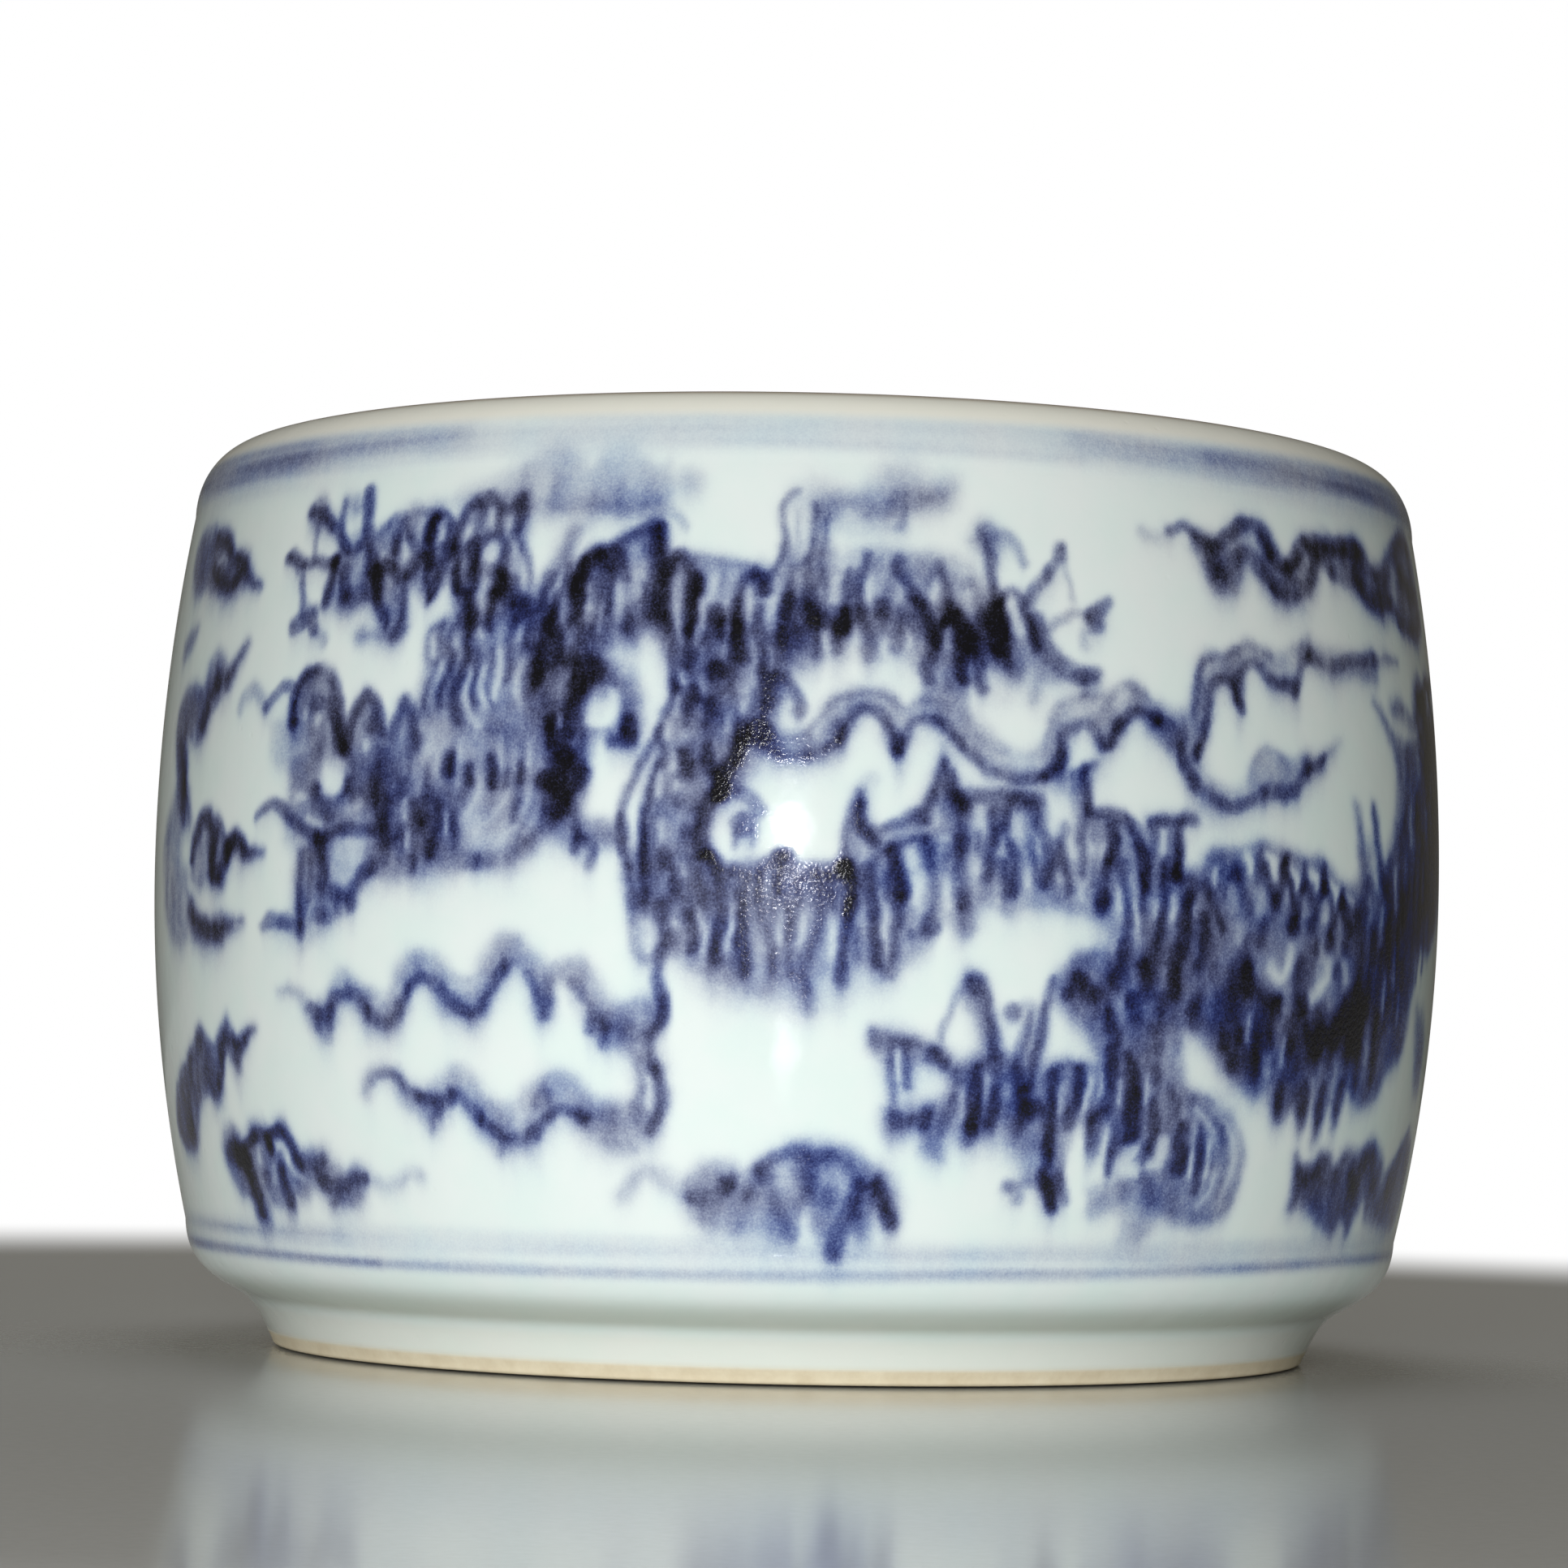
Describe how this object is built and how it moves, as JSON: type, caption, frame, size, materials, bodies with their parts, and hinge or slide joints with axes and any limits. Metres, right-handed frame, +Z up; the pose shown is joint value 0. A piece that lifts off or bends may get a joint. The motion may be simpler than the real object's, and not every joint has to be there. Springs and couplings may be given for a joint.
{
  "type": "cricket pot",
  "caption": "Drum-shaped lidded porcelain jar for keeping crickets, with a rolled lip, a ledge sunk in the mouth and a loose flat cover with an air vent.",
  "frame": {"origin": "middle of the foot ring's resting plane", "axes": "+Z up along the pot's axis, through the mouth; -Y faces the picture's viewer; the pot is round, so +X is any level direction"},
  "size_m": [0.135, 0.135, 0.093],
  "materials": {
    "body_porcelain": "glossy pale blue-green glaze over painted cobalt blue, bare buff foot edge",
    "cover_porcelain": "glossy pale blue-green glaze over painted cobalt blue, bare buff seat"
  },
  "bodies": {
    "pot": {"pot_body": "body_porcelain"},
    "lid": {"cover": "cover_porcelain"}
  },
  "joints": [
    {"name": "cover_lift", "type": "slide", "parent": "pot", "child": "lid", "axis": [0, 0, 1], "range_m": [0, 0.08]}
  ]
}
